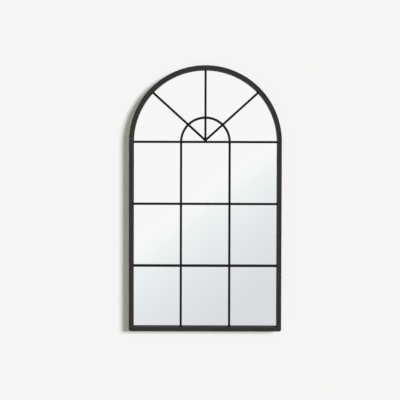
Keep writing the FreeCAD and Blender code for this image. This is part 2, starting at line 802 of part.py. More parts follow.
def draw_ring_path(sketch, x):
    """The D-ring's centreline: a straight bar, rounded ends, short arms and a half-round bow."""
    middle = evaluate(x)
    top = size("ring_axis_z")
    bow = size("ring_bow_z")
    half = size("ring_half")
    corner = size("ring_corner_radius")

    def line(start, end):
        ends = [Vector(middle + across, height, 0) for across, height in (start, end)]
        return Part.LineSegment(*ends)

    def arc(across, height, radius, quarter, quarters):
        circle = Part.Circle(Vector(middle + across, height, 0), Vector(0, 0, 1), radius)
        return Part.ArcOfCircle(circle, quarter * math.pi / 2, (quarter + quarters) * math.pi / 2)

    sketch.addGeometry(line((0, top), (corner - half, top)), False)
    sketch.addGeometry(arc(corner - half, top - corner, corner, 1, 1), False)
    sketch.addGeometry(line((-half, top - corner), (-half, bow)), False)
    sketch.addGeometry(arc(0, bow, half, 2, 2), False)
    sketch.addGeometry(line((half, bow), (half, top - corner)), False)
    sketch.addGeometry(arc(half - corner, top - corner, corner, 0, 1), False)
    sketch.addGeometry(line((half - corner, top), (0, top)), False)
    bar_left, corner_left, arm_left, bend, arm_right, corner_right, bar_right = range(7)
    turns = [bar_left, corner_left, arm_left, bend, arm_right, corner_right, bar_right]
    for one, other in zip(turns, turns[1:]):
        sketch.addConstraint(Sketcher.Constraint("Tangent", one, 2, other, 1))
    sketch.addConstraint(Sketcher.Constraint("Coincident", bar_right, 2, bar_left, 1))
    sketch.addConstraint(Sketcher.Constraint("Horizontal", bar_left))
    sketch.addConstraint(Sketcher.Constraint("Horizontal", bar_right))
    sketch.addConstraint(Sketcher.Constraint("Vertical", arm_left))
    sketch.addConstraint(Sketcher.Constraint("Vertical", arm_right))
    dimension(sketch, "DistanceX", -1, 1, bar_left, 1, formula=x)
    dimension(sketch, "DistanceY", -1, 1, bar_left, 1, formula="ring_axis_z")
    dimension(sketch, "DistanceX", -1, 1, bend, 3, formula=x)
    dimension(sketch, "DistanceY", -1, 1, bend, 3, formula="ring_bow_z")
    dimension(sketch, "Radius", bend, formula="ring_half")
    dimension(sketch, "Radius", corner_left, formula="ring_corner_radius")
    dimension(sketch, "Radius", corner_right, formula="ring_corner_radius")


def make_ring(side):
    """D-ring of round wire, hanging down from the strap's loop."""
    name = f"hanger_ring_{side}"
    x = f"{mirrored_sign(side)} * tube_centre"
    body = new_body(name)
    path = new_sketch(body, "XZ_Plane", f"{name}_path", offset="ring_axis_depth")
    draw_ring_path(path, x)
    section = new_sketch(body, "YZ_Plane", f"{name}_section", offset=x)
    draw_circle(section, "-ring_axis_depth", "ring_axis_z", "ring_wire / 2")
    doc.recompute()
    wire = body.newObject("PartDesign::AdditivePipe", f"{name}_wire")
    wire.Profile = section
    wire.Spine = path
    doc.recompute()
    expected = path.Shape.Length * math.pi * (size("ring_wire") / 2) ** 2
    if abs(body.Shape.Volume - expected) > 0.01 * expected:
        raise RuntimeError("the ring's wire isn't whole")
    return body


def make_wall_pad(name, x, z):
    """Round rubber pad from the frame's back to the wall."""
    body = new_body(name)
    disc = new_sketch(body, "XZ_Plane", f"{name}_outline")
    draw_circle(disc, x, z, "pad_diameter / 2")
    pad(body, disc, "pad_thickness", name=f"{name}_disc")
    round_edges(
        body,
        "pad_edge_radius",
        lambda edge: abs(edge.BoundBox.YMin) < NEAR and abs(edge.BoundBox.YMax) < NEAR,
        name=f"{name}_rim",
    )
    return body


def make_wall_pads():
    """Two pads low on the stiles and two on the arch's shoulders."""
    pads = []
    for side in ("left", "right"):
        sign = mirrored_sign(side)
        low_x = f"{sign} * tube_centre"
        low_z = "base_z + pad_corner_distance"
        pads.append(make_wall_pad(f"wall_pad_lower_{side}", low_x, low_z))
        high_x = f"{sign} * tube_centre * cos(upper_pad_angle * 1deg)"
        high_z = "spring_z + tube_centre * sin(upper_pad_angle * 1deg)"
        pads.append(make_wall_pad(f"wall_pad_upper_{side}", high_x, high_z))
    return pads


# ---------------------------------------------------------------- the mirror

def check(parts):
    """Stops if anything in the document failed or a piece isn't a sound solid."""
    doc.recompute()
    for thing in doc.Objects:
        if {"Invalid", "Error"} & set(thing.State):
            raise RuntimeError(f"{thing.Label} failed: {thing.State}")
    for piece in parts:
        shape = piece.Shape
        if shape.isNull() or not shape.isValid() or not shape.Solids:
            raise RuntimeError(f"{piece.Label} has no sound shape")


def make_mirror():
    screw = make_screw_form()
    clip = make_clip_form()
    parts = make_frame(make_tube_ring(make_hole_tools()))
    parts += make_bars()
    parts += [make_glass(), make_board()]
    parts += make_foam_strips()
    parts += make_edge_spacers()
    parts.append(group_of("retaining_clips", clip, clip_places()))
    parts.append(group_of("clip_screws", screw, clip_screw_places()))
    for side in ("left", "right"):
        parts.append(make_strap(side))
        parts.append(make_ring(side))
    parts.append(group_of("hanger_screws", screw, hanger_screw_places()))
    parts += make_wall_pads()
    return parts


PARTS = make_mirror()
check(PARTS)
os.makedirs("parts", exist_ok=True)
for piece in PARTS:
    piece.Shape.exportStep(f"parts/{piece.Label}.step")
    print(f"{piece.Label}: {len(piece.Shape.Solids)} solid(s), {piece.Shape.Volume / 1000:.2f} cm3")
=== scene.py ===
import math

import bpy
import numpy as np
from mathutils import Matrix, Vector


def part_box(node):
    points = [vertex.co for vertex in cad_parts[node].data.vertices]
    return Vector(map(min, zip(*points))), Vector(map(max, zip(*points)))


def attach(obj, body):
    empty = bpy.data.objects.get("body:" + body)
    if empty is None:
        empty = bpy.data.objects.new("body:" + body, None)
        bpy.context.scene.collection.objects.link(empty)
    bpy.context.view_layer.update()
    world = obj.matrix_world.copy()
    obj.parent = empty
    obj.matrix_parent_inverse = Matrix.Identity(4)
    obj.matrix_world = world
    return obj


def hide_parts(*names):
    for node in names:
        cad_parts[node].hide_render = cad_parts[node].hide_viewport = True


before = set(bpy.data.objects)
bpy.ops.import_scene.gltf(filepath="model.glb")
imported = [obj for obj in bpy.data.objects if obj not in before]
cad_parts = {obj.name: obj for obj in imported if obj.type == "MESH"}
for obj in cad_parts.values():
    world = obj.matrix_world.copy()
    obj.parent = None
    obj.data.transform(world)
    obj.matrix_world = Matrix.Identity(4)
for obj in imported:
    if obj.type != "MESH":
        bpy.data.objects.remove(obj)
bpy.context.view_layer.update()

MM = 0.001

# Places read from the frame, in metres. The wall is the plane y = 0 behind the mirror.
arch_low, arch_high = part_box("frame_arch")
rail_low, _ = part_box("frame_bottom_rail")
spring_low, spring_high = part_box("spring_bar")
glass_low, glass_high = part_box("mirror_glass")
_, fan_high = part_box("fan_arch")
half_width = arch_high.x
front_y = arch_low.y
frame_back_y = arch_high.y
base_z = rail_low.z
spring_z = arch_low.z
inner_half = spring_high.x
tube_face = half_width - inner_half
rail_top_z = base_z + tube_face
glass_front_y = glass_low.y
glass_back_y = glass_high.y
bar_front_y = spring_low.y
bar_width = spring_high.z - spring_low.z
fan_radius = fan_high.x - bar_width / 2


# ---------------------------------------------------------------- light, wall and camera

ROOM_LIGHT = (0.150, 0.143, 0.118)  # what the room adds on matt surfaces
BACKDROP = (0.920, 0.920, 0.920)  # what the camera sees past the wall and the floor
PALE_PAINT = (0.92, 0.92, 0.92)  # the wall and the floor

# The mirrored room: it darkens along the slope, from the white at 0 to the grey at 1.
ROOM_SLOPE = (3.18, 0.0, -4.38)
ROOM_START = -0.088
ROOM_BEYOND = 3.0  # how far its shades run past the white and the grey
ROOM_SHADES = [
    (-ROOM_BEYOND, (0.780, 0.790, 0.800)),
    (-0.80, (0.966, 0.966, 0.966)),
    (0.00, (0.966, 0.966, 0.966)),
    (0.15, (0.965, 0.975, 0.972)),
    (0.31, (0.868, 0.922, 0.907)),
    (0.50, (0.825, 0.858, 0.883)),
    (0.72, (0.786, 0.802, 0.833)),
    (1.00, (0.732, 0.746, 0.780)),
    (1.50, (0.722, 0.736, 0.770)),
    (1 + ROOM_BEYOND, (0.840, 0.850, 0.860)),
]


def world_light():
    """Even, faintly warm room light on the object, a plain pale room in what it mirrors.

    The mirrored room passes from white at the upper left to cool grey at the lower right,
    and is a middling grey far beyond both: the shade follows the dot product of the ray's
    direction with one fixed slope.
    """
    world = bpy.data.worlds.new("studio")
    bpy.context.scene.world = world
    world.use_nodes = True
    tree = world.node_tree
    tree.nodes.clear()

    def background(colour):
        shader = tree.nodes.new("ShaderNodeBackground")
        shader.inputs["Color"].default_value = (*colour, 1)
        return shader

    ambient = background(ROOM_LIGHT)
    seen = background(BACKDROP)
    mirrored = background(BACKDROP)

    reach = 1 + 2 * ROOM_BEYOND
    direction = tree.nodes.new("ShaderNodeTexCoord")
    slope = tree.nodes.new("ShaderNodeVectorMath")
    slope.operation = "DOT_PRODUCT"
    slope.inputs[1].default_value = tuple(part / reach for part in ROOM_SLOPE)
    tree.links.new(direction.outputs["Generated"], slope.inputs[0])
    along = tree.nodes.new("ShaderNodeMath")
    along.operation = "ADD"
    along.inputs[1].default_value = (ROOM_BEYOND + ROOM_START) / reach
    tree.links.new(slope.outputs["Value"], along.inputs[0])
    shades = tree.nodes.new("ShaderNodeValToRGB")
    ramp = shades.color_ramp
    for position, _ in ROOM_SHADES[1:-1]:
        ramp.elements.new((position + ROOM_BEYOND) / reach)
    for element, (_, colour) in zip(ramp.elements, ROOM_SHADES):
        element.color = (*colour, 1)
    tree.links.new(along.outputs["Value"], shades.inputs["Fac"])
    tree.links.new(shades.outputs["Color"], mirrored.inputs["Color"])

    path = tree.nodes.new("ShaderNodeLightPath")
    either = tree.nodes.new("ShaderNodeMath")
    either.operation = "MAXIMUM"
    tree.links.new(path.outputs["Is Glossy Ray"], either.inputs[0])
    tree.links.new(path.outputs["Is Transmission Ray"], either.inputs[1])
    inner = tree.nodes.new("ShaderNodeMixShader")
    tree.links.new(either.outputs["Value"], inner.inputs["Fac"])
    tree.links.new(ambient.outputs["Background"], inner.inputs[1])
    tree.links.new(mirrored.outputs["Background"], inner.inputs[2])
    outer = tree.nodes.new("ShaderNodeMixShader")
    tree.links.new(path.outputs["Is Camera Ray"], outer.inputs["Fac"])
    tree.links.new(inner.outputs["Shader"], outer.inputs[1])
    tree.links.new(seen.outputs["Background"], outer.inputs[2])
    result = tree.nodes.new("ShaderNodeOutputWorld")
    tree.links.new(outer.outputs["Shader"], result.inputs["Surface"])


def sun(name, towards, strength, softness, colour, glint=True):
    """A large distant lamp that shines along a direction; softness is its width in degrees.

    Without glint it lights matt surfaces only and isn't mirrored.
    """
    lamp = bpy.data.lights.new(name, "SUN")
    lamp.energy = strength
    lamp.angle = math.radians(softness)
    lamp.color = colour
    holder = bpy.data.objects.new(name, lamp)
    bpy.context.scene.collection.objects.link(holder)
    reach = math.hypot(towards[0], towards[1])
    tilt = math.atan2(reach, -towards[2])
    holder.rotation_euler = (tilt, 0, math.atan2(towards[0], -towards[1]) + math.pi)
    holder.visible_glossy = glint


def plain_surface(name, corners, colour):
    """A one-sided sheet of paper-like colour that the camera sees through from behind."""
    mesh = bpy.data.meshes.new(name)
    mesh.from_pydata(corners, [], [(0, 1, 2, 3)])
    surface = bpy.data.objects.new(name, mesh)
    bpy.context.scene.collection.objects.link(surface)
    material = bpy.data.materials.new(name)
    material.use_nodes = True
    tree = material.node_tree
    tree.nodes.clear()
    paper = tree.nodes.new("ShaderNodeBsdfDiffuse")
    paper.inputs["Color"].default_value = (*colour, 1)
    clear = tree.nodes.new("ShaderNodeBsdfTransparent")
    side = tree.nodes.new("ShaderNodeNewGeometry")
    pick = tree.nodes.new("ShaderNodeMixShader")
    result = tree.nodes.new("ShaderNodeOutputMaterial")
    tree.links.new(side.outputs["Backfacing"], pick.inputs["Fac"])
    tree.links.new(paper.outputs["BSDF"], pick.inputs[1])
    tree.links.new(clear.outputs["BSDF"], pick.inputs[2])
    tree.links.new(pick.outputs["Shader"], result.inputs["Surface"])
    mesh.materials.append(material)
    surface.visible_diffuse = False
    surface.visible_glossy = False
    surface.visible_transmission = False
    surface.visible_shadow = False


def wall_and_floor():
    """The wall stands just behind the pads; the pale floor lies well below the mirror."""
    wide = 6.0
    wall_y = 0.5 * MM
    floor_z = base_z - 0.63
    foot_left = (-wide, wall_y, floor_z)
    foot_right = (wide, wall_y, floor_z)
    top = [(wide, wall_y, wide), (-wide, wall_y, wide)]
    front = [(-wide, -wide, floor_z), (wide, -wide, floor_z)]
    plain_surface("wall", [foot_left, foot_right] + top, PALE_PAINT)
    plain_surface("floor", front + [foot_right, foot_left], PALE_PAINT)


def camera():
    """In front, 2.9 m off, above the mirror's middle, looking slightly down."""
    distance = 2.900
    pitch = math.radians(89.3)
    roll = math.radians(-0.159)
    data = bpy.data.cameras.new("camera")
    data.lens = 57.05
    data.sensor_width = 36
    data.shift_y = -0.0575
    holder = bpy.data.objects.new("camera", data)
    bpy.context.scene.collection.objects.link(holder)
    holder.location = (-0.0245, front_y - distance, -0.0756)
    holder.rotation_euler = (pitch, roll, 0)
    bpy.context.scene.camera = holder


bpy.context.scene.view_settings.view_transform = "Standard"
world_light()
sun(
    "key",
    towards=(-1.06, 1.0, -0.42),
    strength=3.28,
    softness=22,
    colour=(0.950, 0.972, 1.03),
    glint=False,
)
sun(
    "front_fill",
    towards=(0.0, 1.0, 0.0),
    strength=0.62,
    softness=12,
    colour=(1.0, 0.96, 0.84),
    glint=False,
)
sun(
    "back_fill",
    towards=(0.6, -1.0, -0.5),
    strength=2.6,
    softness=30,
    colour=(1.0, 1.0, 1.0),
)
wall_and_floor()
camera()


# ---------------------------------------------------------------- effects shared by finishes

def new_group(name, inputs, outputs):
    """An empty node group with named sockets: its tree, where it starts and where it ends."""
    group = bpy.data.node_groups.new(name, "ShaderNodeTree")
    kinds = {"vector": "NodeSocketVector", "value": "NodeSocketFloat"}
    for label, kind, start in inputs:
        socket = group.interface.new_socket(label, in_out="INPUT", socket_type=kinds[kind])
        if start is not None:
            socket.default_value = start
    for label, kind in outputs:
        group.interface.new_socket(label, in_out="OUTPUT", socket_type=kinds[kind])
    return group, group.nodes.new("NodeGroupInput"), group.nodes.new("NodeGroupOutput")


def put(tree, socket, value):
    """Links an output to the socket, or sets the socket to a plain value."""
    if isinstance(value, bpy.types.NodeSocket):
        tree.links.new(value, socket)
    else:
        socket.default_value = value


def calc(tree, operation, first, second=0.0, third=0.0, clamp=False):
    """One step of arithmetic on outputs or plain values."""
    node = tree.nodes.new("ShaderNodeMath")
    node.operation = operation
    node.use_clamp = clamp
    put(tree, node.inputs[0], first)
    put(tree, node.inputs[1], second)
    if operation == "MULTIPLY_ADD":
        put(tree, node.inputs[2], third)
    return node.outputs["Value"]


def noise(tree, place, scale, detail=2.0, roughness=0.5):
    """Soft random values from 0 to 1; scale is how many lumps there are to a metre."""
    node = tree.nodes.new("ShaderNodeTexNoise")
    put(tree, node.inputs["Vector"], place)
    put(tree, node.inputs["Scale"], scale)
    put(tree, node.inputs["Detail"], detail)
    put(tree, node.inputs["Roughness"], roughness)
    return node.outputs["Fac"]


def ranged(tree, value, low, high, to_low=0.0, to_high=1.0):
    """The value's share of the way from low to high, laid onto another range, with soft ends."""
    node = tree.nodes.new("ShaderNodeMapRange")
    node.interpolation_type = "SMOOTHSTEP"
    put(tree, node.inputs["Value"], value)
    put(tree, node.inputs["From Min"], low)
    put(tree, node.inputs["From Max"], high)
    put(tree, node.inputs["To Min"], to_low)
    put(tree, node.inputs["To Max"], to_high)
    return node.outputs["Result"]


def stretched(tree, place, factors):
    """The place with each of its three parts multiplied by a factor."""
    node = tree.nodes.new("ShaderNodeVectorMath")
    node.operation = "MULTIPLY"
    put(tree, node.inputs[0], place)
    put(tree, node.inputs[1], factors)
    return node.outputs["Vector"]


def split(tree, place):
    """The three parts of a place or direction."""
    node = tree.nodes.new("ShaderNodeSeparateXYZ")
    put(tree, node.inputs["Vector"], place)
    return node.outputs["X"], node.outputs["Y"], node.outputs["Z"]


def blended(tree, share, first, second):
    """One colour passing into another."""
    node = tree.nodes.new("ShaderNodeMix")
    node.data_type = "RGBA"
    put(tree, node.inputs["Factor"], share)
    put(tree, node.inputs["A"], first)
    put(tree, node.inputs["B"], second)
    return node.outputs["Result"]


def make_peel_group():
    """Baked paint: soft lumps of the given size, finer pimples on them and slow cloudy drift."""
    group, start, end = new_group(
        "paint_peel",
        [
            ("Place", "vector", None),
            ("Lumps per Metre", "value", 900.0),
            ("Pimples", "value", 0.3),
        ],
        [("Height", "value"), ("Cloud", "value")],
    )
    place = start.outputs["Place"]
    density = start.outputs["Lumps per Metre"]
    lumps = noise(group, place, density, detail=1.0)
    pimples = noise(group, place, calc(group, "MULTIPLY", density, 4.5), detail=0.0)
    height = calc(group, "MULTIPLY_ADD", pimples, start.outputs["Pimples"], lumps)
    group.links.new(height, end.inputs["Height"])
    cloud = noise(group, place, calc(group, "MULTIPLY", density, 0.02), detail=3.0)
    group.links.new(cloud, end.inputs["Cloud"])
    return group


def make_dust_group():
    """Fine dust: gathers on what faces up, in soft uneven patches with single specks."""
    group, start, end = new_group(
        "dust",
        [("Place", "vector", None), ("Amount", "value", 0.3)],
        [("Mask", "value")],
    )
    facing = group.nodes.new("ShaderNodeNewGeometry")
    up = split(group, facing.outputs["Normal"])[2]
    shelf = ranged(group, up, 0.35, 0.98)
    drifts = noise(group, start.outputs["Place"], 45.0, detail=4.0)
    patches = ranged(group, drifts, 0.35, 0.7, 0.45, 1.0)
    grains = noise(group, start.outputs["Place"], 2600.0, detail=0.0)
    specks = ranged(group, grains, 0.62, 0.78)
    lying = calc(group, "MULTIPLY_ADD", specks, 0.5, patches)
    settled = calc(group, "MULTIPLY", shelf, lying)
    mask = calc(group, "MULTIPLY", settled, start.outputs["Amount"], clamp=True)
    group.links.new(mask, end.inputs["Mask"])
    return group


def make_grain_group():
    """Worked surface: grain drawn out along one axis, fine pits, and slow blotches."""
    group, start, end = new_group(
        "drawn_grain",
        [
            ("Place", "vector", None),
            ("Stretch", "vector", (1.0, 1.0, 1.0)),
            ("Fineness", "value", 600.0),
        ],
        [("Grain", "value"), ("Pits", "value"), ("Blotch", "value")],
    )
    place = start.outputs["Place"]
    fineness = start.outputs["Fineness"]
    drawn = stretched(group, place, start.outputs["Stretch"])
    lines = noise(group, drawn, fineness, detail=3.0, roughness=0.6)
    group.links.new(lines, end.inputs["Grain"])
    cells = group.nodes.new("ShaderNodeTexVoronoi")
    put(group, cells.inputs["Vector"], place)
    put(group, cells.inputs["Scale"], fineness)
    pits = ranged(group, cells.outputs["Distance"], 0.08, 0.34)
    group.links.new(pits, end.inputs["Pits"])
    coarseness = calc(group, "MULTIPLY", fineness, 0.06)
    blotch = noise(group, place, coarseness, detail=3.0, roughness=0.55)
    group.links.new(blotch, end.inputs["Blotch"])
    return group


PEEL = make_peel_group()
DUST = make_dust_group()
GRAIN = make_grain_group()


def finish_of(name):
    """A new finish: its material, tree, shader and the place on the piece, in metres."""
    material = bpy.data.materials.new(name)
    material.use_nodes = True
    tree = material.node_tree
    tree.nodes.clear()
    shader = tree.nodes.new("ShaderNodeBsdfPrincipled")
    result = tree.nodes.new("ShaderNodeOutputMaterial")
    tree.links.new(shader.outputs["BSDF"], result.inputs["Surface"])
    coordinates = tree.nodes.new("ShaderNodeTexCoord")
    return material, tree, shader, coordinates.outputs["Object"]


def effect(tree, group, **values):
    """Places a shared effect; underscores in a socket's name stand for spaces."""
    node = tree.nodes.new("ShaderNodeGroup")
    node.node_tree = group
    for name, value in values.items():
        put(tree, node.inputs[name.replace("_", " ")], value)
    return node.outputs


def relief(tree, shader, height, depth, strength=1.0):
    """Bumps the surface by the height, times a depth in metres."""
    bump = tree.nodes.new("ShaderNodeBump")
    bump.inputs["Strength"].default_value = strength
    bump.inputs["Distance"].default_value = depth
    put(tree, bump.inputs["Height"], height)
    tree.links.new(bump.outputs["Normal"], shader.inputs["Normal"])


# ---------------------------------------------------------------- finishes

def joint_lines(tree, place):
    """Hairlines of the frame's joints: a mitre in both lower corners, a butt at the arch's feet.

    On a mitre the distance from the outer side equals the height above the underside.
    """
    past_face = tube_face + 0.4 * MM
    x, _, z = split(tree, place)
    across = calc(tree, "ABSOLUTE", x)
    inwards = calc(tree, "SUBTRACT", half_width, across)
    upwards = calc(tree, "SUBTRACT", z, base_z)
    off_mitre = calc(tree, "ABSOLUTE", calc(tree, "SUBTRACT", inwards, upwards))
    mitre = ranged(tree, off_mitre, 0.10 * MM, 0.45 * MM, 1.0, 0.0)
    in_corner = calc(tree, "LESS_THAN", upwards, past_face)
    off_butt = calc(tree, "ABSOLUTE", calc(tree, "SUBTRACT", z, spring_z))
    butt = ranged(tree, off_butt, 0.08 * MM, 0.35 * MM, 1.0, 0.0)
    on_tube = calc(tree, "LESS_THAN", inwards, past_face)
    mitre_lines = calc(tree, "MULTIPLY", mitre, in_corner)
    butt_lines = calc(tree, "MULTIPLY", butt, on_tube)
    return calc(tree, "MAXIMUM", mitre_lines, butt_lines)


SEAM_BLACK = (0.004, 0.004, 0.004, 1)
COAT_DUST = (0.14, 0.13, 0.125, 1)
RUBBER_DUST = (0.20, 0.19, 0.18, 1)


def black_powder(name, dark, light, gloss, dusty):
    """Powder coat on welded steel: near black, faintly lumpy, a little dust where it faces up.

    The clouds pass between the dark and the light shade; gloss is the specular level.
    """
    material, tree, shader, place = finish_of(name)
    peel = effect(tree, PEEL, Place=place, Lumps_per_Metre=850.0, Pimples=0.25)
    dust = effect(tree, DUST, Place=place, Amount=dusty)["Mask"]
    lines = joint_lines(tree, place)
    cloud = ranged(tree, peel["Cloud"], 0.3, 0.7)
    paint = blended(tree, cloud, dark, light)
    seamed = blended(tree, calc(tree, "MULTIPLY", lines, 0.6), paint, SEAM_BLACK)
    put(tree, shader.inputs["Base Color"], blended(tree, dust, seamed, COAT_DUST))
    satin = ranged(tree, peel["Cloud"], 0.3, 0.7, 0.50, 0.58)
    put(tree, shader.inputs["Roughness"], calc(tree, "MULTIPLY_ADD", dust, 0.35, satin))
    shader.inputs["Specular IOR Level"].default_value = gloss
    sunken = calc(tree, "MULTIPLY_ADD", lines, -5.0, peel["Height"])
    relief(tree, shader, sunken, 0.035 * MM)
    return material


def silvered_glass():
    """Looking glass: clear silver over the whole front, green edge and grey backing paint."""
    material, tree, shader, place = finish_of("silvered_glass")
    _, depth, _ = split(tree, place)
    front = calc(tree, "LESS_THAN", depth, glass_front_y + 0.2 * MM)
    back = calc(tree, "GREATER_THAN", depth, glass_back_y - 0.2 * MM)
    green_edge = (0.22, 0.34, 0.29, 1)
    grey_backing = (0.24, 0.23, 0.22, 1)
    silver = (0.958, 0.960, 0.958, 1)
    body = blended(tree, back, green_edge, grey_backing)
    put(tree, shader.inputs["Base Color"], blended(tree, front, body, silver))
    put(tree, shader.inputs["Metallic"], front)
    film = ranged(tree, noise(tree, place, 7.0, detail=3.0), 0.45, 0.75, 0.004, 0.020)
    sides = calc(tree, "MULTIPLY_ADD", back, 0.4, 0.18)
    rest = calc(tree, "MULTIPLY", calc(tree, "SUBTRACT", 1.0, front), sides)
    put(tree, shader.inputs["Roughness"], calc(tree, "MULTIPLY_ADD", front, film, rest))
    return material


def brown_hardboard():
    """Pressed fibre: brown, with short matted fibres, darker flecks and a slight shine."""
    material, tree, shader, place = finish_of("brown_hardboard")
    mat = effect(tree, GRAIN, Place=place, Stretch=(1.0, 1.0, 0.6), Fineness=520.0)
    darker_brown = (0.183, 0.105, 0.053, 1)
    lighter_brown = (0.205, 0.121, 0.063, 1)
    fleck_brown = (0.075, 0.040, 0.020, 1)
    fibre_tan = (0.330, 0.215, 0.125, 1)
    fibres = ranged(tree, mat["Grain"], 0.32, 0.68)
    wash = blended(tree, ranged(tree, mat["Blotch"], 0.3, 0.7), darker_brown, lighter_brown)
    fleck = calc(tree, "MULTIPLY", calc(tree, "SUBTRACT", 1.0, mat["Pits"]), 0.35)
    flecked = blended(tree, fleck, wash, fleck_brown)
    pale = calc(tree, "MULTIPLY", fibres, 0.35)
    put(tree, shader.inputs["Base Color"], blended(tree, pale, flecked, fibre_tan))
    put(tree, shader.inputs["Roughness"], ranged(tree, mat["Grain"], 0.3, 0.7, 0.42, 0.62))
    relief(tree, shader, mat["Grain"], 0.10 * MM, strength=0.7)
    return material


def white_foam_tape():
    """Closed-cell foam: off-white, with small round cells that show as dimples, darkened inside by
    painted shade.
    """
    material, tree, shader, place = finish_of("white_foam_tape")
    cells = effect(tree, GRAIN, Place=place, Fineness=1400.0)
    # the darker colour inside each cell is painted shade in the dimple; the foam itself is
    # off-white
    painted_cell_shade = (0.42, 0.42, 0.40, 1)
    off_white = (0.74, 0.74, 0.71, 1)
    put(tree, shader.inputs["Base Color"], blended(tree, cells["Pits"], painted_cell_shade, off_white))
    shader.inputs["Roughness"].default_value = 0.9
    relief(tree, shader, cells["Pits"], 0.15 * MM, strength=0.8)
    return material


def matt_rubber(name, dark, light, dust):
    """Moulded rubber: matt, finely pebbled, greyed by a little dust."""
    material, tree, shader, place = finish_of(name)
    skin = effect(tree, PEEL, Place=place, Lumps_per_Metre=2600.0, Pimples=0.5)
    lying = effect(tree, DUST, Place=place, Amount=dust)["Mask"]
    body = blended(tree, ranged(tree, skin["Cloud"], 0.3, 0.7), dark, light)
    put(tree, shader.inputs["Base Color"], blended(tree, lying, body, RUBBER_DUST))
    put(tree, shader.inputs["Roughness"], ranged(tree, skin["Height"], 0.4, 0.9, 0.72, 0.88))
    relief(tree, shader, skin["Height"], 0.03 * MM)
    return material


def plated_steel(name, silver, tint, smooth, coarse, stretch, fineness):
    """Plated steel: bright metal, drawn or rolled grain, and a thin stain in patches."""
    material, tree, shader, place = finish_of(name)
    grain = effect(tree, GRAIN, Place=place, Stretch=stretch, Fineness=fineness)
    stain = ranged(tree, grain["Blotch"], 0.42, 0.68)
    put(tree, shader.inputs["Base Color"], blended(tree, stain, silver, tint))
    shader.inputs["Metallic"].default_value = 1.0
    uneven = ranged(tree, grain["Grain"], 0.3, 0.7, smooth, coarse)
    put(tree, shader.inputs["Roughness"], calc(tree, "MULTIPLY_ADD", stain, 0.08, uneven))
    relief(tree, shader, grain["Grain"], 0.02 * MM, strength=0.6)
    return material


FRAME_COAT = black_powder(
    "satin_black_tube",
    dark=(0.0210, 0.0199, 0.0190, 1),
    light=(0.0268, 0.0252, 0.0240, 1),
    gloss=0.22,
    dusty=0.20,
)
BAR_COAT = black_powder(
    "satin_black_bars",
    dark=(0.0050, 0.0049, 0.0046, 1),
    light=(0.0075, 0.0073, 0.0068, 1),
    gloss=0.14,
    dusty=0.10,
)
BRIGHT_ZINC = plated_steel(
    "bright_zinc",
    silver=(0.66, 0.68, 0.70, 1),
    tint=(0.60, 0.58, 0.50, 1),
    smooth=0.26,
    coarse=0.40,
    stretch=(1.0, 1.0, 1.0),
    fineness=900.0,
)
ROLLED_STRAP = plated_steel(
    "rolled_zinc_strap",
    silver=(0.60, 0.61, 0.62, 1),
    tint=(0.52, 0.50, 0.44, 1),
    smooth=0.24,
    coarse=0.44,
    stretch=(6.0, 1.0, 0.5),
    fineness=700.0,
)
NICKEL_WIRE = plated_steel(
    "nickel_wire",
    silver=(0.68, 0.65, 0.60, 1),
    tint=(0.56, 0.52, 0.46, 1),
    smooth=0.16,
    coarse=0.28,
    stretch=(1.0, 1.0, 1.0),
    fineness=1600.0,
)

FINISHES = {
    "frame": FRAME_COAT,
    "spring_bar": BAR_COAT,
    "cross_bar": BAR_COAT,
    "upright_bar": BAR_COAT,
    "fan": BAR_COAT,
    "mirror_glass": silvered_glass(),
    "back_board": brown_hardboard(),
    "foam_strip": white_foam_tape(),
    "edge_spacer": matt_rubber(
        "spacer_rubber",
        dark=(0.020, 0.020, 0.020, 1),
        light=(0.034, 0.034, 0.034, 1),
        dust=0.25,
    ),
    "wall_pad": matt_rubber(
        "pad_rubber",
        dark=(0.040, 0.040, 0.040, 1),
        light=(0.058, 0.057, 0.055, 1),
        dust=0.2,
    ),
    "retaining_clips": BRIGHT_ZINC,
    "hanger_strap": ROLLED_STRAP,
    "hanger_ring": NICKEL_WIRE,
}


def dress_the_frame():
    """Every node of the frame takes the finish of the family that its name begins with."""
    for name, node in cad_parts.items():
        for family, material in FINISHES.items():
            if name.startswith(family):
                for held in node.material_slots:
                    held.material = material


dress_the_frame()


# ---------------------------------------------------------------- surfaces

def grid_quads(rows, columns):
    """Quads between neighbours of a grid of points whose rows are closed on themselves."""
    row = np.arange(rows - 1)[:, None] * columns
    column = np.arange(columns)[None, :]
    beside = (column + 1) % columns
    next_row = row + columns
    corners = [row + column, row + beside, next_row + beside, next_row + column]
    return np.stack(corners, axis=-1).reshape(-1, 4)


def capped(rings, first=None, last=None):
    """Points and faces of a closed surface: rings of points, closed by a fan at each end.

    Without a middle point of its own, an end is a fan from the first point of its ring.
    """
    rows, columns = rings.shape[:2]
    points = rings.reshape(-1, 3)
    end = (rows - 1) * columns
    if first is None:
        column = np.arange(1, columns - 1)
        beside = column + 1
        poles = (0, end)
    else:
        points = np.concatenate([points, [first, last]])
        column = np.arange(columns)
        beside = (column + 1) % columns
        poles = (rows * columns, rows * columns + 1)
    start_fan = np.stack([np.full(len(column), poles[0]), beside, column], axis=-1)
    end_fan = np.stack([np.full(len(column), poles[1]), end + column, end + beside], axis=-1)
    return points, grid_quads(rows, columns), np.concatenate([start_fan, end_fan])


def piece_from(name, forms, material):
    """One piece of several closed surfaces, each given as points, quads and triangles.

    It is shaded smooth, but for edges where the surface turns by more than 35 degrees.
    """
    points = []
    faces = []
    count = 0
    for form_points, quads, triangles in forms:
        points.append(form_points)
        faces += (quads + count).tolist() + (triangles + count).tolist()
        count += len(form_points)
    mesh = bpy.data.meshes.new(name)
    mesh.from_pydata(np.concatenate(points).tolist(), [], faces)
    mesh.update()
    mesh.shade_smooth()
    mesh.set_sharp_from_angle(angle=math.radians(35))
    mesh.materials.append(material)
    piece = bpy.data.objects.new(name, mesh)
    bpy.context.scene.collection.objects.link(piece)
    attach(piece, "mirror")
    return piece


# ---------------------------------------------------------------- screws

